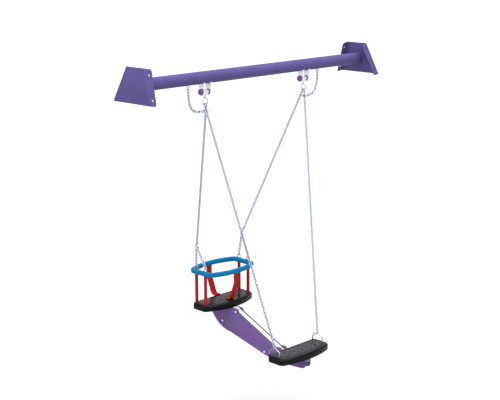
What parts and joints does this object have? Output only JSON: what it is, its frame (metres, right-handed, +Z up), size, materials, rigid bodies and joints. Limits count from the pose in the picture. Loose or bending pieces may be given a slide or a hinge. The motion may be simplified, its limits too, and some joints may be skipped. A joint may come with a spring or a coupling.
{
  "type": "tandem swing",
  "caption": "Tandem swing hung by chains from a round crossbeam: a cradle seat with a guard ring and a flat seat, joined by a sloping beam.",
  "frame": {"origin": "on the crossbeam's axis at mid-length", "axes": "+X along the crossbeam, +Y horizontally towards the cradle seat's side, +Z up"},
  "size_m": [2.0242, 0.9355, 1.9623],
  "materials": {
    "purple_powder_coat": "satin powder coat",
    "purple_board": "matt compact laminate with dark core",
    "galvanised_steel": "hot-dip galvanised",
    "galvanised_chain": "galvanised welded chain",
    "stainless_wire": "bright bent wire",
    "purple_cap": "moulded cap",
    "blue_rubber": "soft moulded cover",
    "red_rubber": "soft moulded cover",
    "black_rubber": "moulded rubber",
    "black_plastic": "moulded",
    "steel_insert": "plain plate",
    "link_tube_steel": "pale galvanised tube",
    "fastener_steel": "zinc plated",
    "grey_plug": "moulded end plug"
  },
  "bodies": {
    "crossbeam": {"crossbeam_tube": "purple_powder_coat", "left_end_bracket": "purple_powder_coat", "left_hanger_ears": "galvanised_steel", "left_pin_caps": "purple_cap", "left_safety_lug": "galvanised_steel", "pivot_bolts": "fastener_steel", "pivot_nuts": "fastener_steel", "right_end_bracket": "purple_powder_coat", "right_hanger_ears": "galvanised_steel", "right_pin_caps": "purple_cap", "right_safety_lug": "galvanised_steel"},
    "swing": {"board_bolts": "fastener_steel", "board_cap_nuts": "fastener_steel", "board_spacers": "fastener_steel", "cradle_back_strap": "red_rubber", "cradle_front_strap": "red_rubber", "cradle_insert_plate": "steel_insert", "cradle_post_rods": "steel_insert", "cradle_post_sleeves": "red_rubber", "cradle_ring_core": "steel_insert", "cradle_ring_cover": "blue_rubber", "cradle_seat": "black_rubber", "cradle_seat_bolts": "fastener_steel", "flat_insert_plate": "steel_insert", "flat_seat": "black_rubber", "flat_seat_bolts": "fastener_steel", "left_back_bridle_chain": "galvanised_chain", "left_bearing_bushes": "black_plastic", "left_bearing_tube": "galvanised_steel", "left_child_chain": "galvanised_chain", "left_cradle_bails": "stainless_wire", "left_flat_seat_bail": "stainless_wire", "left_front_bridle_chain": "galvanised_chain", "left_hanger_shackle": "galvanised_steel", "left_hanger_tongue": "galvanised_steel", "left_parent_chain": "galvanised_chain", "left_safety_connector": "galvanised_steel", "left_side_board": "purple_board", "left_split_loop": "galvanised_steel", "link_tube": "link_tube_steel", "link_tube_plugs": "grey_plug", "right_back_bridle_chain": "galvanised_chain", "right_bearing_bushes": "black_plastic", "right_bearing_tube": "galvanised_steel", "right_child_chain": "galvanised_chain", "right_cradle_bails": "stainless_wire", "right_flat_seat_bail": "stainless_wire", "right_front_bridle_chain": "galvanised_chain", "right_hanger_shackle": "galvanised_steel", "right_hanger_tongue": "galvanised_steel", "right_parent_chain": "galvanised_chain", "right_safety_connector": "galvanised_steel", "right_side_board": "purple_board", "right_split_loop": "galvanised_steel", "strap_foot_bolts": "fastener_steel"},
    "left_safety_upper": {"left_safety_chain_upper": "galvanised_chain"},
    "left_safety_lower": {"left_safety_chain_lower": "galvanised_chain"},
    "right_safety_upper": {"right_safety_chain_upper": "galvanised_chain"},
    "right_safety_lower": {"right_safety_chain_lower": "galvanised_chain"}
  },
  "joints": [
    {"name": "swing", "type": "hinge", "parent": "crossbeam", "child": "swing", "pos_m": [0, 0, -0.0865], "axis": [1, 0, 0], "range_deg": [-45, 45]},
    {"name": "left_safety_chain_top", "type": "hinge", "parent": "crossbeam", "child": "left_safety_upper", "pos_m": [-0.574, 0, -0.0586], "axis": [1, 0, 0], "range_deg": [-19.6, 19.6]},
    {"name": "left_safety_chain_mid", "type": "hinge", "parent": "left_safety_upper", "child": "left_safety_lower", "pos_m": [-0.56851, 0.00259, -0.12927], "axis": [1, 0, 0], "range_deg": [-36.2, 36.2]},
    {"name": "right_safety_chain_top", "type": "hinge", "parent": "crossbeam", "child": "right_safety_upper", "pos_m": [0.574, 0, -0.0586], "axis": [1, 0, 0], "range_deg": [-19.6, 19.6]},
    {"name": "right_safety_chain_mid", "type": "hinge", "parent": "right_safety_upper", "child": "right_safety_lower", "pos_m": [0.56851, 0.00259, -0.12927], "axis": [1, 0, 0], "range_deg": [-36.2, 36.2]}
  ],
  "couplings": [
    {"joint": "left_safety_chain_top", "follows": "swing", "ratio": 0.4136},
    {"joint": "left_safety_chain_mid", "follows": "swing", "ratio": 0.7825},
    {"joint": "right_safety_chain_top", "follows": "swing", "ratio": 0.4136},
    {"joint": "right_safety_chain_mid", "follows": "swing", "ratio": 0.7825}
  ]
}
